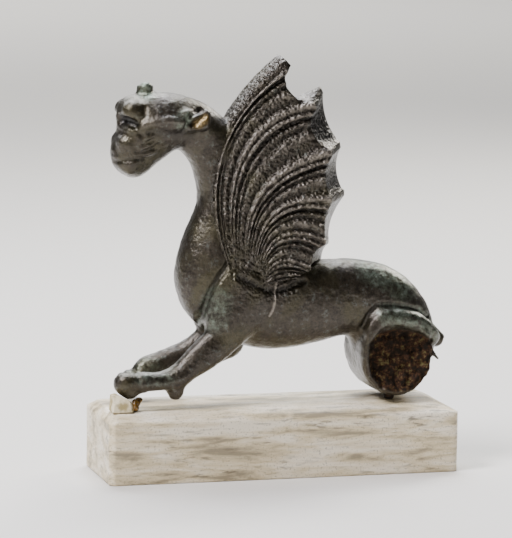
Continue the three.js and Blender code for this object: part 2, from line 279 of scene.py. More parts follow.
def makeBronze(look):
    # patinated cast bronze under wax: dark brown with green-grey bloom (partly painted highlight), raised places
    # painted lighter (rubbed wear and painted highlight) and sunk places darker (painted shade), a granular skin and
    # broken highlights
    material, tree, shader, where = newMaterial("patinated_cast_bronze")
    grain = addNode(
        tree, "TexNoise", {"Vector": where, "Scale": perMm(look["grain"]), "Detail": 4, "Roughness": 0.65}
    ).outputs["Fac"]
    pits = addNode(tree, "TexVoronoi", {"Vector": where, "Scale": perMm(1.3)}, feature="SMOOTH_F1").outputs["Distance"]
    mottle = addNode(
        tree, "TexNoise", {"Vector": where, "Scale": perMm(look["mottle"]), "Detail": 5, "Roughness": 0.7}
    ).outputs["Fac"]
    cloud = addNode(
        tree, "TexNoise", {"Vector": where, "Scale": perMm(look["cloud"]), "Detail": 3, "Distortion": 0.4}
    ).outputs["Fac"]
    tone, earth, bloomAndHighlight, crust, ochre = [
        addNode(tree, "Attribute", attribute_name=name).outputs["Fac"]
        for name in ("tone", "earth", "bloomAndHighlight", "crust", "ochre")
    ]

    base = addNode(
        tree, "ValToRGB", {"Fac": mottle}, stops=((0.36, look["dark"]), (0.56, look["body"]), (0.74, look["blueGrey"]))
    ).outputs["Color"]
    patches = addNode(tree, "ValToRGB", {"Fac": cloud}, stops=((0.46, 0.0), (0.66, 0.8))).outputs["Color"]
    base = addNode(tree, "Mix", {0: patches, 6: base, 7: colour(look["olive"])}, data_type="RGBA").outputs[2]
    # raised places take the pale colour, partly rubbed wear and partly painted highlight; sunk places take near-black,
    # painted shade in the hollows
    rubbedAndHighlight = addNode(tree, "MapRange", {"Value": tone, "From Min": 0.15, "From Max": 0.9, "To Max": 0.8}).outputs[0]
    base = addNode(tree, "Mix", {0: rubbedAndHighlight, 6: base, 7: colour(look["rubbedAndHighlight"])}, data_type="RGBA").outputs[2]
    sunkShade = addNode(tree, "MapRange", {"Value": tone, "From Min": -0.06, "From Max": -0.7, "To Max": 0.95}).outputs[0]
    base = addNode(tree, "Mix", {0: sunkShade, 6: base, 7: colour(look["grooveShade"])}, data_type="RGBA").outputs[2]
    # patches of pale green bloom, partly patina and partly painted highlight on lit parts
    bloomAndHighlightShare = addNode(tree, "ValToRGB", {"Fac": mottle}, stops=((0.4, 0.1), (0.62, 0.85))).outputs["Color"]
    bloomAndHighlightShare = addNode(tree, "Math", {0: bloomAndHighlightShare, 1: bloomAndHighlight}, operation="MULTIPLY").outputs[0]
    base = addNode(tree, "Mix", {0: bloomAndHighlightShare, 6: base, 7: colour(look["bloomAndHighlight"])}, data_type="RGBA").outputs[2]
    core = addNode(
        tree, "ValToRGB", {"Fac": mottle}, stops=((0.44, look["core"]), (0.56, look["coreRust"]), (0.64, look["coreOlive"]))
    ).outputs["Color"]
    base = addNode(tree, "Mix", {0: earth, 6: base, 7: core}, data_type="RGBA").outputs[2]
    # yellow-brown inside the ears, partly their own colour and partly painted highlight on the lit hollows
    base = addNode(tree, "Mix", {0: ochre, 6: base, 7: colour(look["ochre"])}, data_type="RGBA").outputs[2]
    speckle = addNode(tree, "ValToRGB", {"Fac": grain}, stops=((0.36, 0.45), (0.5, 0.95), (0.66, 1.0))).outputs["Color"]
    base = addNode(tree, "Mix", {0: 0.8, 6: base, 7: speckle}, data_type="RGBA", blend_type="MULTIPLY").outputs[2]

    low, high = look["roughness"]
    rough = addNode(
        tree, "MapRange", {"Value": mottle, "From Min": 0.3, "From Max": 0.7, "To Min": low, "To Max": high}
    ).outputs[0]
    rough = addNode(tree, "Mix", {0: earth, 2: rough, 3: 0.8}).outputs[0]
    wax = addNode(tree, "MapRange", {"Value": earth, "To Min": look["wax"], "To Max": 0.0}).outputs[0]
    depth = addNode(tree, "MapRange", {"Value": crust, "To Min": 0.35, "To Max": 1.0}).outputs[0]
    fine = addNode(tree, "Bump", {"Height": grain, "Strength": depth, "Distance": look["relief"]}).outputs[0]
    pitted = addNode(
        tree, "Bump", {"Height": pits, "Strength": crust, "Distance": 0.0009, "Normal": fine}
    ).outputs[0]
    lumps = addNode(tree, "Bump", {"Height": mottle, "Strength": 0.3, "Distance": 0.0008, "Normal": pitted}).outputs[0]
    tree.links.new(base, shader.inputs["Base Color"])
    tree.links.new(rough, shader.inputs["Roughness"])
    tree.links.new(lumps, shader.inputs["Normal"])
    tree.links.new(lumps, shader.inputs["Coat Normal"])
    tree.links.new(wax, shader.inputs["Coat Weight"])
    shader.inputs["Coat Roughness"].default_value = look["waxRoughness"]
    shader.inputs["Metallic"].default_value = look["metallic"]
    return material


honedStone = {
    "pale": "#e4dac6",
    "warm": "#cdbd9b",
    "vein": "#8f836a",
    "darkVein": "#5f5643",
    "speck": "#8a7f6c",
}


def makeStone(look):
    # honed vein-cut stone: cream with long grey-brown veins, almost matt
    material, tree, shader, where = newMaterial("honed_veined_stone")
    turned = addNode(tree, "Mapping", {"Vector": where, "Rotation": (0.02, 0.055, 0.03), "Scale": (0.16, 0.55, 1.0)})
    flow = addNode(tree, "TexNoise", {"Vector": turned.outputs[0], "Scale": perMm(5.5), "Detail": 7, "Roughness": 0.62, "Distortion": 0.35})
    streak = addNode(tree, "TexNoise", {"Vector": turned.outputs[0], "Scale": perMm(1.6), "Detail": 5, "Roughness": 0.6, "Distortion": 0.2})
    bands = addNode(tree, "TexNoise", {"Vector": turned.outputs[0], "Scale": perMm(13), "Detail": 2})
    speck = addNode(tree, "TexNoise", {"Vector": where, "Scale": perMm(0.9), "Detail": 2})
    base = addNode(tree, "ValToRGB", {"Fac": flow.outputs["Fac"]}, stops=((0.36, look["vein"]), (0.47, look["warm"]), (0.6, look["pale"]))).outputs["Color"]
    lines = addNode(tree, "ValToRGB", {"Fac": streak.outputs["Fac"]}, stops=((0.33, 0.85), (0.45, 0.0))).outputs["Color"]
    strong = addNode(tree, "ValToRGB", {"Fac": bands.outputs["Fac"]}, stops=((0.42, 1.0), (0.6, 0.25))).outputs["Color"]
    lines = addNode(tree, "Mix", {0: 1.0, 6: lines, 7: strong}, data_type="RGBA", blend_type="MULTIPLY").outputs[2]
    base = addNode(tree, "Mix", {0: lines, 6: base, 7: colour(look["darkVein"])}, data_type="RGBA").outputs[2]
    specks = addNode(tree, "ValToRGB", {"Fac": speck.outputs["Fac"]}, stops=((0.33, 0.6), (0.42, 0.0))).outputs["Color"]
    base = addNode(tree, "Mix", {0: specks, 6: base, 7: colour(look["speck"])}, data_type="RGBA").outputs[2]
    rough = addNode(tree, "MapRange", {"Value": flow.outputs["Fac"], "To Min": 0.34, "To Max": 0.56})
    dents = addNode(tree, "Bump", {"Height": streak.outputs["Fac"], "Strength": 0.15, "Distance": 0.0004})
    tree.links.new(base, shader.inputs["Base Color"])
    tree.links.new(rough.outputs[0], shader.inputs["Roughness"])
    tree.links.new(dents.outputs[0], shader.inputs["Normal"])
    shader.inputs["IOR"].default_value = 1.5
    return material


brokenLimestone = {"light": "#ddd2b4", "dark": "#a39468", "grain": 0.9}


def makeChipStone(look):
    # a freshly broken chip of limestone: rough, sugary, straw-coloured
    material, tree, shader, where = newMaterial("broken_limestone")
    grain = addNode(tree, "TexNoise", {"Vector": where, "Scale": perMm(look["grain"]), "Detail": 4})
    patch = addNode(tree, "TexNoise", {"Vector": where, "Scale": perMm(4), "Detail": 3})
    base = addNode(tree, "ValToRGB", {"Fac": patch.outputs["Fac"]}, stops=((0.4, look["dark"]), (0.58, look["light"]))).outputs["Color"]
    bump = addNode(tree, "Bump", {"Height": grain.outputs["Fac"], "Strength": 0.5, "Distance": 0.0004})
    tree.links.new(base, shader.inputs["Base Color"])
    tree.links.new(bump.outputs[0], shader.inputs["Normal"])
    shader.inputs["Roughness"].default_value = 0.75
    return material


amberResin = {"colour": "#8a6426", "deep": "#59411a"}


def makeResin(look):
    # set resin adhesive: amber, smooth and wet-looking
    material, tree, shader, where = newMaterial("resin_adhesive")
    cloud = addNode(tree, "TexNoise", {"Vector": where, "Scale": perMm(2.5), "Detail": 2})
    base = addNode(tree, "ValToRGB", {"Fac": cloud.outputs["Fac"]}, stops=((0.4, look["deep"]), (0.6, look["colour"]))).outputs["Color"]
    tree.links.new(base, shader.inputs["Base Color"])
    shader.inputs["Roughness"].default_value = 0.18
    shader.inputs["IOR"].default_value = 1.52
    shader.inputs["Transmission Weight"].default_value = 0.25
    return material


rustySteel = {"dark": "#1d1a16", "rust": "#3f2c1c"}


def makeSteel(look):
    # blackened steel rod with a little rust
    material, tree, shader, where = newMaterial("blackened_steel")
    rust = addNode(tree, "TexNoise", {"Vector": where, "Scale": perMm(1.2), "Detail": 4})
    base = addNode(tree, "ValToRGB", {"Fac": rust.outputs["Fac"]}, stops=((0.45, look["dark"]), (0.6, look["rust"]))).outputs["Color"]
    bump = addNode(tree, "Bump", {"Height": rust.outputs["Fac"], "Strength": 0.3, "Distance": 0.0002})
    tree.links.new(base, shader.inputs["Base Color"])
    tree.links.new(bump.outputs[0], shader.inputs["Normal"])
    shader.inputs["Metallic"].default_value = 0.7
    shader.inputs["Roughness"].default_value = 0.5
    return material


bronze = makeBronze(castBronze)
stone = makeStone(honedStone)
chipStone = makeChipStone(brokenLimestone)
resin = makeResin(amberResin)
steel = makeSteel(rustySteel)
print("materials ready")


def finishPiece(name, bm, material, node, smooth=True):
    # scales a piece to metres and puts it in place of its CAD node
    bmesh.ops.scale(bm, vec=(mm, mm, mm), verts=bm.verts)
    mesh = bpy.data.meshes.new(name)
    bm.to_mesh(mesh)
    bm.free()
    for face in mesh.polygons:
        face.use_smooth = smooth
    mesh.materials.append(material)
    piece = bpy.data.objects.new(name, mesh)
    bpy.context.collection.objects.link(piece)
    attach(piece, "root")
    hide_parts(node)
    return piece


# the figure's body

body = {
    # the head is domed above its widest line and cut under below it
    "headSection": [
        (-1, 0), (-0.97, 0.24), (-0.85, 0.46), (-0.65, 0.62), (-0.45, 0.74), (-0.28, 0.88), (-0.12, 0.98), (0.02, 1),
        (0.25, 0.95), (0.5, 0.82), (0.72, 0.65), (0.88, 0.45), (0.97, 0.24), (1, 0),
    ],
    "softVoxel": 0.8,
    "voxel": 0.68,
    "trunk": [
        [-42.4, 137, -24, 149, 9.6, 0],
        [-36, 127.5, -15, 137, 9.4, 0],
        [-33.3, 116, -12, 120, 9.6, 0],
        [-35.6, 107, -11, 108, 10.8, 0],
        [-39.8, 96.3, -9, 98, 12.6, 0],
        [-42.8, 82, -3, 90.5, 14, 0],
        [-38.4, 68, 8, 88.2, 14.8, 0],
        [-27, 57.6, 16, 88, 14.8, 0],
        [-10, 52, 24, 88, 14.4, 0],
        [6, 51.2, 32, 88, 13.8, 0],
        [20, 53.8, 41, 87, 13.2, 0],
        [30.6, 55.8, 52, 83.4, 12.8, 0],
        [33.8, 52.4, 62, 75.5, 12.8, 0],
        [35.8, 43.6, 68.6, 64, 12.6, 0],
        [42, 34.4, 70.4, 51, 12, 0],
        [52, 31.8, 64, 39, 11, 0],
    ],
    "upperArm": [
        [-22.6, 88.4, -9, 84, 5, 10.6],
        [-28.8, 82, -4.4, 77.4, 6.2, 10.7],
        [-31, 73, -5.6, 68, 6.5, 10.5],
        [-32.2, 64, -12, 59, 6.2, 10.3],
        [-31, 58, -19, 54.6, 5.2, 10.4],
    ],
    "nearForearm": [
        [-27, 64, -14, 57, 5, -10.6],
        [-33, 60, -20.4, 51.6, 5, -11],
        [-41, 52.2, -30.2, 45, 4.9, -11.6],
        [-46, 47.2, -37.4, 41.2, 4.8, -12],
        [-51.6, 44.8, -43.4, 37.4, 4.9, -12.2],
        [-58, 45, -53, 36.6, 5.1, -12.4],
        [-64.6, 45, -63, 36, 4.8, -12.6],
    ],
    "farForearm": [
        [-24, 65, -8.6, 52.4, 5, 10.6],
        [-30, 58.4, -12.6, 46.6, 5, 11],
        [-38, 52.6, -22, 43.2, 4.9, 11.6],
        [-45, 50, -31, 40, 4.8, 12],
        [-50, 48.3, -37.6, 36, 4.9, 12.2],
        [-54.4, 46.4, -45, 33.8, 5.1, 12.4],
        [-57.4, 42.4, -56, 33, 4.8, 12.6],
    ],
    "head": [
        [-17, 143, -37, 131, 9.4, 0],
        [-28.6, 152.6, -41.4, 134.8, 11, 0],
        [-38, 156.8, -44.4, 134.3, 12.6, 0],
        [-48, 158.6, -46.8, 132.4, 13.4, 0],
        [-57, 158.7, -48.6, 131, 13.2, 0],
        [-65.4, 156.2, -50, 129.8, 12, 0],
        [-68.2, 149.2, -51.4, 128.6, 10.6, 0],
        [-67.6, 143.2, -53, 127.2, 9.6, 0],
        [-70.2, 136.4, -55.4, 125.4, 9.4, 0],
        [-69.4, 129.2, -58.6, 123.6, 8, 0],
        [-64.6, 124.6, -61.6, 123.4, 5, 0],
    ],
}


def addPaw(bm, side, shift, drop):
    # a big round toe, a smaller one beside it and a knob below the wrist
    addBall(bm, (shift - 66.6, side * 13, 40.4 - drop), (5.1, 5.1, 4.9))
    addBall(bm, (shift - 65.4, side * 7.8, 39.8 - drop), (4.2, 3.6, 4.2))
    knob = [
        [shift - 40.6, 41.4, shift - 47.6, 42, 3.6, side * 12.2],
        [shift - 41.4, 37, shift - 48.4, 37.4, 3.5, side * 12.2],
        [shift - 42.4, 32.4 - drop * 0.4, shift - 48, 32.4 - drop * 0.4, 3, side * 12.2],
    ]
    skinForm(bm, knob, sides=24, rings=20, ends=(0.3, 0.3))


def softForms():
    bm = bmesh.new()
    skinForm(bm, body["trunk"], sides=64, rings=110, ends=(0.02, 0.05), square=2.25)
    skinForm(bm, body["head"], sides=56, rings=80, ends=(0.03, 0.07), section=body["headSection"])
    for side in (-1, 1):
        arm = [station[:5] + [station[5] * side] for station in body["upperArm"]]
        skinForm(bm, arm, ends=(0.16, 0.16))
    skinForm(bm, body["nearForearm"], ends=(0.06, 0.05), square=2.2)
    skinForm(bm, body["farForearm"], ends=(0.06, 0.05), square=2.2)
    addPaw(bm, -1, 0, 0)
    addPaw(bm, 1, 7, 3.6)
    addBall(bm, (-64.6, -12.6, 36.4), (3.9, 3.8, 2.9))
    for side in (-1, 1):
        addBall(bm, (-40, side * 10, 147.5), (6, 3.6, 4.6), 0.5)  # swelling round the ear
        addBall(bm, (-63, side * 5, 137.4), (6, 5, 6.2))  # muzzle
        addBall(bm, (-56.2, side * 6.6, 137.6), (4.6, 3.4, 4.6), 0.6)  # lips
        addBall(bm, (-60, side * 6.6, 143.6), (6.8, 4.6, 3), 0.1)  # cheek under the eye
        addBall(bm, (-62.6, side * 7, 151.4), (4.8, 4.2, 4.6))  # brow over the eye
    fused = fuse(bm, body["softVoxel"])
    relax(fused, 7)
    return fused


haunch = {
    "x": 50.6,
    "z": 49.4,
    "flatten": 0.865,
    # radius and half width of the drum from its middle outwards
    "profile": [(0, 13.2), (9, 13.2), (13, 13.6), (14.6, 14.5), (16.2, 14.8), (17.5, 13.8), (18.3, 11.6), (18.4, 8)],
}


def addDrum(bm):
    half = [(r, y) for r, y in haunch["profile"]]
    profile = [(r, -y) for r, y in half] + [(r, y) for r, y in reversed(half)]
    points = [bm.verts.new((r, y, 0)) for r, y in profile]
    edges = [bm.edges.new(pair) for pair in zip(points[:-1], points[1:])]
    spun = bmesh.ops.spin(
        bm, geom=points + edges, cent=(0, 0, 0), axis=(0, 1, 0), angle=math.tau, steps=72, use_merge=True
    )
    found = set(points)
    stack = list(points)
    while stack:
        for edge in stack.pop().link_edges:
            for vert in edge.verts:
                if vert not in found:
                    found.add(vert)
                    stack.append(vert)
    verts = list(found)
    bmesh.ops.remove_doubles(bm, verts=verts, dist=0.001)
    verts = [vert for vert in verts if vert.is_valid]
    bmesh.ops.scale(bm, vec=(haunch["flatten"], 1, 1), verts=verts)
    bmesh.ops.translate(bm, vec=(haunch["x"], 0, haunch["z"]), verts=verts)


def crispForms(bm):
    addDrum(bm)
    for side in (-1, 1):
        band = [
            [36.4, 50, 40.4, 48.6, 2.6, side * 12.4],
            [36.4, 60.4, 41.4, 56.8, 3.4, side * 12.2],
            [42, 68, 44, 59.6, 4, side * 11.8],
            [49, 68.4, 48.6, 60.4, 4.2, side * 11.8],
            [55.6, 67.3, 54, 59.8, 4.2, side * 11.6],
            [61.6, 65.2, 59.4, 58.2, 4.4, side * 10.4],
            [67.6, 60.4, 63.6, 54.6, 4.6, side * 8],
            [72.8, 55, 68.6, 49.8, 4.6, side * 4.4],
        ]
        skinForm(bm, band, sides=28, rings=44, ends=(0.12, 0.08))  # lip over the break, running out to the tail root
        addSpike(bm, (66, side * 9, 49.8), (70.2, side * 9, 45.4), 1.5, 0.4)  # thorn of metal at the break
        ear = [
            [-43, 146.4, -41, 142.5, 1.8, side * 11],
            [-38.4, 150.6, -36.2, 143.2, 3, side * 11],
            [-34, 152.4, -32.4, 144, 2.8, side * 10.8],
            [-31, 152, -30.6, 148.5, 1.4, side * 10],
        ]
        skinForm(bm, ear, sides=24, rings=24, ends=(0.2, 0.2))
    addSpike(bm, (64, 0, 58), (74, 0, 51.8), 6, 3)  # broken root of the tail
    addSpike(bm, (-56.3, 0, 154), (-56.2, 0, 161.6), 3.9, 3.2)  # broken stub on the crown
    addBall(bm, (-55.4, -0.6, 161), (2.7, 2.9, 1.9), 0.4)
    fused = fuse(bm, body["voxel"])
    relax(fused, 2)
    return fused


# lines that the modeller cut or raised, drawn in side view: (path, radius, height)
strokes = {
    "brow": [
        ([(-68, 147.9), (-65.4, 147), (-62.6, 146)], 2.9, -2.6),  # eye hollow under the brow
        ([(-60.6, 146.6), (-58.4, 149.4), (-58.6, 152.6)], 1.5, -0.5),
    ],
    "cheek": [
        ([(-63.5, 145), (-56.4, 146.8), (-49.8, 148.2), (-43.9, 147.4)], 2.6, 0.9),
        ([(-56.4, 143.4), (-50.2, 142.6), (-43.9, 142.2), (-37.5, 141.6)], 3, -0.9),
    ],
    "muzzle": [
        ([(-67.4, 139.6), (-64.4, 138.8), (-61.4, 140.2)], 3, 0.5),
        ([(-61, 143), (-59.2, 141.4), (-59.6, 139)], 1.3, -0.6),
        ([(-70.4, 130.6), (-65.4, 131.6), (-61.6, 132.2), (-57.6, 132.2)], 1.5, -0.7),
    ],
    "lips": [
        ([(-59.4, 139.6), (-55.4, 142)], 1, 0.5),
        ([(-59.2, 138), (-55, 140.2)], 0.9, -0.5),
        ([(-59, 136.6), (-54.4, 138.4)], 1, 0.5),
        ([(-58.6, 135.2), (-54, 136.6)], 0.9, -0.5),
        ([(-58.2, 133.8), (-53.4, 135)], 1.1, 0.5),
    ],
    "ear": [
        ([(-39.4, 146.6), (-37.2, 148.2), (-34.4, 150)], 2.1, -2.2),
        ([(-37.4, 146.2), (-34.8, 147.2)], 1.9, -1.2),
        ([(-42.2, 143.8), (-41.4, 147.6), (-38.8, 150.6), (-34.6, 152)], 1.3, -1.2),
    ],
    "shoulder": [
        ([(-23.6, 89), (-27.8, 83.4), (-31, 78), (-32.8, 71.6), (-34, 65), (-34.6, 61.4)], 1.9, -1.3),
        ([(-22.3, 86.4), (-26.2, 81.6), (-29, 77), (-30.4, 71), (-31.4, 65)], 1.6, 0.35),
        ([(-19, 83.4), (-14.6, 81), (-9.5, 78.6), (-3.9, 76.6), (2.5, 78), (9, 80.8)], 2.4, -1.4),
    ],
    "rump": [
        ([(35.4, 60.4), (37.4, 65.8), (41.4, 70), (49, 69.9), (55.8, 68.7), (61.2, 67), (65, 63.6)], 1.3, -1.0),
    ],
    "toes": [
        ([(-62.2, 44.8), (-61.2, 41), (-61.8, 37)], 1.3, -0.6),
        ([(-57, 36.4), (-52, 36.2), (-48, 37)], 1.4, -0.4),
    ],
}

seam = {"path": [(-3.1, 81), (-3.6, 77), (-3.8, 73), (-4.6, 69.5), (-5.9, 67)], "radius": 0.95, "height": 0.8}

breakage = {
    "outline": [
        (37.6, 54.4), (39.6, 56.6), (43.1, 58.5), (47, 59.6), (51, 59.8), (56.3, 58.9), (61, 57.6), (66, 55),
        (69, 50.4), (67, 44), (62.6, 37), (57, 33.6), (49.3, 32.6), (42.6, 35), (38.6, 40.7), (37.4, 47.1),
    ],
    "depth": 2.2,
    "rough": 1.7,
    "pits": [((48.2, 48.9), 4.6, 1.3), ((53.4, 43), 3.2, 1.1), ((58, 49.6), 2.6, 1), ((43.6, 43.4), 2.8, 0.8)],
}


def breakFaces(skin):
    # each end of the haunch is a rough core inside a rim of metal, under the raised lip
    flat = skin.points[:, [0, 2]]
    depth = insideDepth(flat, breakage["outline"])
    for side in (-1, 1):
        facing = smoothStep(skin.points[:, 1] * side, 8.5, 11.5)
        weight = smoothStep(depth, -0.5, 1.1) * facing
        crumbs = np.array(
            [noise.fractal(Vector(p) / 3.1 + Vector((side * 9, 0, 3)), 0.8, 2.1, 4) if w > 0 else 0 for p, w in zip(skin.points, weight)]
        )
        # deepest under the lip, and running out to the lower edge of the haunch
        push = breakage["depth"] * smoothStep(flat @ np.array([-0.5, 0.86]), -8, 26) + breakage["rough"] * crumbs
        for centre, radius, pit in breakage["pits"]:
            reach = np.linalg.norm(flat - np.array(centre), axis=1) / radius
            push = push + pit * np.clip(1 - reach**2, 0, 1) ** 2
        skin.points[:, 1] -= side * weight * push
        # the deepest parts of the break are painted darker: painted shade under the lip
        skin.tone -= weight * smoothStep(push, 2.2, 4.2) * 0.7
        skin.earth += weight


# places with pale green bloom, partly patina and partly painted highlight on lit parts: path in side view, reach and
# amount
bloomAndHighlightPatches = [
    ([(-56.4, 159.5), (-56.2, 163)], 4.5, 1.0),
    ([(-43.5, 147.5), (-42, 149)], 4, 0.8),
    ([(40, 86), (48, 83), (54, 78)], 9, 0.75),
    ([(46, 66), (60, 64), (68, 58)], 6, 0.6),
    ([(-28, 74), (-30, 66)], 7, 0.5),
    ([(-60, 44), (-50, 43)], 5, 0.35),
]


# yellow-brown inside the ears, partly their own colour and partly painted highlight on the lit hollows
ochres = [([(-37, 146.4), (-33.6, 148.6)], 2.6, 0.7)]

# coarse pitting beside the wing root
crusts = [([(-18, 84), (-8, 79), (2, 80)], 8, 0.8)]


def patchesOn(points, patches):
    amount = np.zeros(len(points))
    for path, radius, strength in patches:
        reach = np.clip(1 - (pathDistance(points[:, [0, 2]], path) / radius) ** 2, 0, 1)
        amount = np.maximum(amount, reach * strength)
    return amount


def castLumps(skin, size, height, seed):
    # unevenness of the cast surface
    shift = Vector((seed, seed * 0.7, -seed))
    lumps = np.array([noise.fractal(Vector(p) / size + shift, 0.9, 2.2, 3) for p in skin.points])
    skin.points += skin.normals * (lumps * height)[:, None]
    return lumps


def shapeBody():
    skin = Skin(crispForms(softForms()))
    for group in strokes.values():
        for path, radius, height in group:
            skin.work(path, radius, height)
    skin.work(seam["path"], seam["radius"], seam["height"], sides=(-1,), tone=0.9)
    breakFaces(skin)
    skin.store()
    relax(skin.bm, 1, 0.3)
    skin.refresh()
    castLumps(skin, 9, 0.28, 4)
    castLumps(skin, 2.6, 0.13, 17)
    skin.store()
    return skin


# the wings, swept up and pressed together

wing = {
    "rootZ": 84,
    "tipZ": 174,
    "rootHalfThickness": 14.6,
    "tipHalfThickness": 4.6,
    "edgeRound": 2.4,
    "ribHeight": 1.5,
    "columns": 52,
    "rows": 180,  # 30 to a feather
    "wallRows": [0.86, 0.64, 0.4, 0.18, 0],
    # each feather line in side view: root, two control points, tip on the outer face
    "feathers": [
        [[-20, 80.5], [-38.5, 112], [-31, 147], [1.2, 173]],
        [[-18.6, 84], [-30, 123], [-14, 150.6], [13.9, 154]],
        [[-15.4, 86], [-19.4, 113], [-6.3, 127.8], [20.9, 134.4]],
        [[-12, 86], [-13.4, 105.9], [-0.4, 117.9], [20.6, 114.7]],
        [[-9.6, 84.6], [-9.3, 99.3], [2.8, 105.6], [18.2, 97.9]],
        [[-8.4, 82], [-5.1, 91.8], [2.6, 91.7], [11.4, 86.9]],
        [[-8, 79.4], [-5.3, 81.6], [0.3, 81.9], [5.5, 82.6]],
    ],
    # the scallop before each next tip: curve handle and notch
    "outerScallops": [
        [[-1.6, 162], [7.4, 155.5]],
        [[9, 146.5], [14.9, 138.2]],
        [[16.9, 126.7], [18.5, 119.7]],
        [[17, 107.8], [17.8, 99.6]],
        [[12.1, 93.9], [11.6, 88.6]],
        [[9, 84.6], [6.6, 83.4]],
    ],
    "midTips": [[2, 172.6], [18.8, 160.6], [27.6, 137.4], [30, 117], [23.6, 96.6], [15, 86.4], [6, 82]],
    "midScallops": [
        [[-1.6, 162.4], [7.6, 156]],
        [[19.4, 147], [26.6, 138.2]],
        [[24, 127], [28.8, 117.8]],
        [[23, 106], [23.4, 97.8]],
        [[20.6, 93], [20.4, 88.4]],
        [[9, 84], [7, 83]],
    ],
    "notchAt": 5 / 6,
    # each tip ends in a short blunt edge before the scallop starts
    "bluntAt": 1 / 10,
    "blunt": [[3.2, -3.4], [1.2, -2.6], [0.5, -2.4], [0, -2.2], [-0.2, -2], [-0.2, -1.4]],
    # height across one feather: ridge, step, ridge, deep step, thin ridge, step, flat web
    "ribs": [
        (0, 0.8), (0.05, 0.7), (0.11, -0.05), (0.17, 0.5), (0.22, 0.7), (0.27, 0.45), (0.33, -0.6), (0.38, -0.5),
        (0.43, 0.3), (0.48, 0.4), (0.53, -0.3), (0.57, -0.35), (0.63, 0.25), (0.7, 0.45), (0.78, 0.3), (0.86, 0.0),
        (0.91, -0.3), (0.96, 0.45), (1, 0.8),
    ],
}


def edgeAt(tips, scallops, v):
    i = min(len(scallops) - 1, int(v * len(scallops) + 1e-6))
    f = v * len(scallops) - i
    handle, notch = scallops[i]
    start = [a + b for a, b in zip(tips[i], wing["blunt"][i])]
    if f < wing["bluntAt"] - 1e-6:
        return [mix(a, b, f / wing["bluntAt"]) for a, b in zip(tips[i], start)]
    if f <= wing["notchAt"] + 1e-6:
        t = (f - wing["bluntAt"]) / (wing["notchAt"] - wing["bluntAt"])
        return [(1 - t) ** 2 * a + 2 * t * (1 - t) * h + t * t * n for a, h, n in zip(start, handle, notch)]
    g = (f - wing["notchAt"]) / (1 - wing["notchAt"])
    return [mix(n, b, g) for n, b in zip(notch, tips[i + 1])]


def cubicAt(points, t):
    s = 1 - t
    weights = (s**3, 3 * s * s * t, 3 * s * t * t, t**3)
    return [sum(w * p[k] for w, p in zip(weights, points)) for k in (0, 1)]


def ribAt(u, v):
    spans = len(wing["feathers"]) - 1
    i = min(spans - 1, int(v * spans + 1e-6))
    f = v * spans - i
    places, heights = zip(*wing["ribs"])
    rib = float(np.interp(f, places, heights))
    if i == 0:  # the first feather starts with the smooth rim of the leading edge
        rib = mix(0.15, rib, float(smoothStep(f, 0.1, 0.2)))
    fade = float(smoothStep(u, 0.03, 0.3)) * mix(0.62, 1.15, u)
    return rib * fade * (0.8 if i >= 4 else 1)


def wingPoint(u, v, d):
    flat = stationAt([sum(line, []) for line in wing["feathers"]], v)
    end = edgeAt([line[3] for line in wing["feathers"]], wing["outerScallops"], v)
    handles = [flat[0:2], flat[2:4], flat[4:6], end]
    x, z = cubicAt(handles, u)
    share = (z - wing["rootZ"]) / (wing["tipZ"] - wing["rootZ"])
    half = mix(wing["rootHalfThickness"], wing["tipHalfThickness"], max(-0.2, min(1, share)))
    inner = 1 - d
    if u > 0.9999 and 0 < v < 1:
        mx, mz = edgeAt(wing["midTips"], wing["midScallops"], v)
        x, z = mix(x, mx, inner), mix(z, mz, inner)
    elif v < 1e-6:
        ax, az = cubicAt(handles, min(1, u + 0.01))
        bx, bz = cubicAt(handles, max(0, u - 0.01))
        run = math.hypot(ax - bx, az - bz)
        out = wing["edgeRound"] * (math.sqrt(max(0, 1 - d * d)) - 0.6 - 0.35 * math.exp(-((d / 0.14) ** 2)))
        x, z = x - (az - bz) / run * out, z + (ax - bx) / run * out
    rib = ribAt(u, v) if d == 1 else 0
    return (x, -d * half - rib * wing["ribHeight"], z), rib


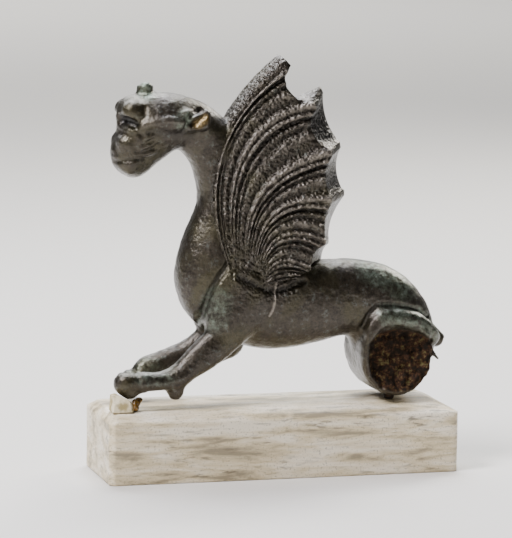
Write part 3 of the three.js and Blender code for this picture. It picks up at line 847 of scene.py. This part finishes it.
def shapeWings():
    bm = bmesh.new()
    layers = {name: bm.verts.layers.float.new(name) for name in layerNames}
    bmesh.ops.create_grid(bm, x_segments=wing["columns"], y_segments=wing["rows"], size=1)
    for vert in bm.verts:
        vert[layers["u"]] = (vert.co.x + 1) / 2
        vert[layers["v"]] = (vert.co.y + 1) / 2
        vert[layers["d"]] = 1
    rim = [edge for edge in bm.edges if edge.is_boundary]
    for depth in wing["wallRows"]:
        made = bmesh.ops.extrude_edge_only(bm, edges=rim)["geom"]
        rim = [part for part in made if isinstance(part, bmesh.types.BMEdge)]
        for part in made:
            if isinstance(part, bmesh.types.BMVert):
                part[layers["d"]] = depth
    for vert in bm.verts:
        u, v, d = [vert[layers[name]] for name in ("u", "v", "d")]
        u, v, d = round(u, 5), round(v, 5), round(d, 3)
        vert.co, rib = wingPoint(u, v, d)
        grain = noise.fractal(vert.co / 2.2, 0.9, 2.2, 3)
        if d == 1 and 0.02 < v and 0 < u < 1:
            vert.co.y -= grain * 0.4
        elif v == 0 and d > 0:
            vert.co += Vector((-0.8, 0, 0.6)) * grain * 0.35
        # tone on the wing: the trailing-edge walls are painted dark in each scoop (painted shade) and pale on the tip
        # facets (painted highlight); the rib crests are painted lighter (rubbed wear and painted highlight) and the
        # steps darker (painted shade)
        wallShadeAndHighlight = 0.15
        if u == 1 and v > 0:
            wallShadeAndHighlight = -0.8 * float(smoothStep((v * 6) % 1, 0.02, 0.2)) if (v * 6) % 1 < 0.84 else 0.2
        vert[layers["tone"]] = rib * 0.75 + grain * 0.35 if d == 1 else wallShadeAndHighlight + grain * 0.2
        vert[layers["crust"]] = 1 if u < 1 else 0.5
    bmesh.ops.mirror(bm, geom=bm.verts[:] + bm.edges[:] + bm.faces[:], axis="Y", merge_dist=0.0005)
    bmesh.ops.recalc_face_normals(bm, faces=bm.faces)
    return bm


def meshOf(name, bm):
    mesh = bpy.data.meshes.new(name)
    bm.to_mesh(mesh)
    bm.free()
    made = bpy.data.objects.new(name, mesh)
    bpy.context.collection.objects.link(made)
    return made


def makeFigure():
    skin = shapeBody()
    print("body shaped:", len(skin.bm.faces), "faces")
    layers = {name: skin.bm.verts.layers.float.new(name) for name in layerNames}
    marks = {
        "tone": skin.tone,
        "earth": skin.earth,
        "bloomAndHighlight": patchesOn(skin.points, bloomAndHighlightPatches),
        "ochre": patchesOn(skin.points, ochres),
        "crust": patchesOn(skin.points, crusts) + 0.15,
    }
    for name, amounts in marks.items():
        for vert, amount in zip(skin.bm.verts, amounts):
            vert[layers[name]] = min(1, amount)
    trunk = meshOf("trunk", skin.bm)
    wings = meshOf("wings", shapeWings())
    join = trunk.modifiers.new("join", "BOOLEAN")
    join.operation = "UNION"
    join.solver = "MANIFOLD"
    join.object = wings
    joined = bpy.data.meshes.new_from_object(trunk.evaluated_get(bpy.context.evaluated_depsgraph_get()))
    for part in (trunk, wings):
        bpy.data.objects.remove(part)
    bm = bmesh.new()
    bm.from_mesh(joined)
    bmesh.ops.triangulate(bm, faces=[face for face in bm.faces if len(face.verts) > 4])
    print("figure joined:", sum(len(face.verts) - 2 for face in bm.faces), "triangles")
    return finishPiece("figure_bronze", bm, bronze, "figure")


figure = makeFigure()


# the plinth

plinth = {
    "length": 150,
    "depth": 47,
    "height": 29,
    "corner": 2,
    "frontBevel": (6, 16),  # at the left and right end
    "backBevel": (6, 6),
    "endBevel": (3, 8),
    "drop": (3, 3.6),
    "edge": 0.7,
    "wobble": 0.14,
}


def plinthRing(level):
    # eight corners of the block at the foot, below the bevel or on top
    ring = []
    for sx, sy, alongX in (
        (1, -1, 0), (1, 1, 0), (1, 1, 1), (-1, 1, 1), (-1, 1, 0), (-1, -1, 0), (-1, -1, 1), (1, -1, 1),
    ):
        end = 1 if sx > 0 else 0
        top = level == "top"
        endInset = plinth["endBevel"][end] if top else 0
        sideInset = (plinth["frontBevel"] if sy < 0 else plinth["backBevel"])[end] if top else 0
        x = sx * (plinth["length"] / 2 - endInset - (plinth["corner"] if alongX else 0))
        y = sy * (plinth["depth"] / 2 - sideInset - (0 if alongX else plinth["corner"]))
        z = {"foot": 0, "shoulder": plinth["height"] - plinth["drop"][end], "top": plinth["height"]}[level]
        ring.append((x, y, z))
    return ring


def makePlinth():
    bm = bmesh.new()
    ring = bmesh.ops.create_circle(bm, cap_ends=True, radius=10, segments=8)["verts"]
    for vert, place in zip(ring, plinthRing("foot")):
        vert.co = place
    face = bm.faces[0] if hasattr(bm.faces, "ensure_lookup_table") and not bm.faces.ensure_lookup_table() else None
    for level in ("shoulder", "top"):
        below = [vert for vert in ring]
        made = bmesh.ops.extrude_face_region(bm, geom=[face])["geom"]
        face = next(part for part in made if isinstance(part, bmesh.types.BMFace))
        above = [part for part in made if isinstance(part, bmesh.types.BMVert)]
        partner = {}
        for vert in above:
            partner[vert] = next(edge.other_vert(vert) for edge in vert.link_edges if edge.other_vert(vert) in below)
        order = {vert: index for index, vert in enumerate(below)}
        places = plinthRing(level)
        for vert in above:
            vert.co = places[order[partner[vert]]]
        ring = sorted(above, key=lambda vert: order[partner[vert]])
    if not any(abs(face.normal.z) > 0.9 and face.calc_center_median().z < 0.1 for face in bm.faces):
        bmesh.ops.holes_fill(bm, edges=bm.edges, sides=0)
    bmesh.ops.recalc_face_normals(bm, faces=bm.faces)
    bmesh.ops.bevel(
        bm, geom=bm.edges[:] + bm.verts[:], offset=plinth["edge"], segments=3, profile=0.5, affect="EDGES", material=-1
    )
    bmesh.ops.triangulate(bm, faces=bm.faces)
    for _ in range(5):
        longEdges = [edge for edge in bm.edges if edge.calc_length() > 2.6]
        if not longEdges:
            break
        bmesh.ops.subdivide_edges(bm, edges=longEdges, cuts=1)
        bmesh.ops.triangulate(bm, faces=[face for face in bm.faces if len(face.verts) > 3])
    for vert in bm.verts:
        if vert.co.z > 1:
            vert.co += vert.normal * (noise.fractal(vert.co / 16, 0.9, 2.1, 3) - 0.35) * plinth["wobble"]
    return finishPiece("plinth_stone", bm, stone, "plinth")


makePlinth()
print("plinth made")


# chip, adhesive and pin that hold the figure

chip = {
    "size": (9, 8.4, 7),
    "centre": (-68.2, -13.8, 32.75),
    # cuts that broke it: point and outward normal
    "cuts": [
        ((-69.9, -13, 36.1), (0.55, 0.1, 0.9)),
        ((-72.6, -17, 33), (-0.9, -0.5, 0.1)),
        ((-64.2, -16, 33), (0.85, -0.5, 0.2)),
        ((-70, -17.7, 34), (-0.1, -0.9, 0.35)),
        ((-71, -10.4, 33), (-0.6, 0.8, 0.2)),
        ((-65.4, -10, 32), (0.7, 0.7, 0.3)),
    ],
}


def makeChip():
    bm = bmesh.new()
    bmesh.ops.create_cube(bm, size=1)
    bmesh.ops.scale(bm, vec=chip["size"], verts=bm.verts)
    bmesh.ops.translate(bm, vec=chip["centre"], verts=bm.verts)
    for place, normal in chip["cuts"]:
        bmesh.ops.bisect_plane(
            bm, geom=bm.verts[:] + bm.edges[:] + bm.faces[:], plane_co=place, plane_no=normal, clear_outer=True
        )
        bmesh.ops.holes_fill(bm, edges=[edge for edge in bm.edges if edge.is_boundary], sides=0)
    bmesh.ops.bevel(
        bm, geom=bm.edges[:] + bm.verts[:], offset=0.22, segments=2, profile=0.5, affect="EDGES", material=-1
    )
    bmesh.ops.triangulate(bm, faces=bm.faces)
    bmesh.ops.subdivide_edges(bm, edges=[edge for edge in bm.edges if edge.calc_length() > 0.8], cuts=3, use_grid_fill=True)
    bmesh.ops.triangulate(bm, faces=bm.faces)
    for vert in bm.verts:
        vert.co += vert.normal * noise.fractal(vert.co / 1.6, 0.8, 2.2, 3) * 0.14
        vert.co.z = max(vert.co.z, 29.25)
    bmesh.ops.recalc_face_normals(bm, faces=bm.faces)
    return finishPiece("support_chip", bm, chipStone, "support_stone", smooth=False)


bead = {
    # balls of adhesive that ran together: centre and radii
    "balls": [
        ((-62.3, -13.6, 30.6), (1.5, 3.4, 1.6)),
        ((-61.8, -13, 32.4), (1.8, 3, 1.6)),
        ((-63.2, -15.4, 31.4), (1.1, 1.6, 2)),
        ((-60.6, -12.4, 33.4), (1.7, 2.2, 1.2)),
    ],
}


def makeBead():
    bm = bmesh.new()
    for centre, radii in bead["balls"]:
        addBall(bm, centre, radii)
    bm = fuse(bm, 0.22)
    relax(bm, 6)
    for vert in bm.verts:
        vert.co.z = max(vert.co.z, 29.1)
    return finishPiece("adhesive", bm, resin, "adhesive_bead")


pin = {"x": 49.4, "y": -5.6, "radius": 2.1, "foot": 29.1, "top": 31.8}


def makePin():
    bm = bmesh.new()
    depth = pin["top"] - pin["foot"]
    place = Matrix.Translation((pin["x"], pin["y"], pin["foot"] + depth / 2))
    bmesh.ops.create_cone(
        bm, cap_ends=True, segments=40, radius1=pin["radius"], radius2=pin["radius"], depth=depth, matrix=place
    )
    rims = [edge for edge in bm.edges if len(edge.link_faces) == 2 and edge.calc_face_angle() > 1]
    bmesh.ops.bevel(bm, geom=rims, offset=0.2, segments=2, profile=0.5, affect="EDGES", material=-1)
    return finishPiece("pin", bm, steel, "mounting_pin")


makeChip()
makeBead()
makePin()
print("mount made")


# floor and light

studio = {
    "floor": "#d3d0ca",
    "world": "#dfe3e8",
    "worldStrength": 0.1,
    # place, aim, size in metres, power in watts, colour
    "lights": {
        "key": ((-0.75, -0.3, 1.05), (0, 0, 0.1), 0.4, 30, "#fbf9ff"),
        "back": ((0.1, 0.45, 1.2), (0, 0, 0.1), 0.5, 24, "#f2f6ff"),
        "side": ((1.0, 0.9, 0.85), (0, 0, 0.1), 0.5, 16, "#fffaf0"),
        "front": ((-0.6, -1.2, 0.7), (0, 0, 0.1), 0.5, 3, "#fff6e8"),
        "wash": ((0, 4.5, 2.6), (0, 4.2, 0), 4, 260, "#ffffff"),
    },
}


def makeFloor():
    bm = bmesh.new()
    bmesh.ops.create_grid(bm, x_segments=8, y_segments=8, size=9)
    mesh = bpy.data.meshes.new("floor")
    bm.to_mesh(mesh)
    bm.free()
    material, tree, shader, where = newMaterial("matt_floor_paint")
    shader.inputs["Base Color"].default_value = colour(studio["floor"])
    shader.inputs["Roughness"].default_value = 0.8
    mesh.materials.append(material)
    floor = bpy.data.objects.new("floor", mesh)
    bpy.context.collection.objects.link(floor)


def addLights():
    for name, (place, aim, size, watts, shade) in studio["lights"].items():
        data = bpy.data.lights.new(name, "AREA")
        data.size = size
        data.energy = watts
        data.color = colour(shade)[:3]
        light = bpy.data.objects.new(name, data)
        light.location = place
        light.rotation_euler = (Vector(aim) - Vector(place)).to_track_quat("-Z", "Y").to_euler()
        light.visible_camera = False
        bpy.context.collection.objects.link(light)
    world = bpy.data.worlds.new("studio")
    bpy.context.scene.world = world
    world.use_nodes = True
    world.node_tree.nodes["Background"].inputs["Color"].default_value = colour(studio["world"])
    world.node_tree.nodes["Background"].inputs["Strength"].default_value = studio["worldStrength"]


makeFloor()
addLights()
print("studio lit")
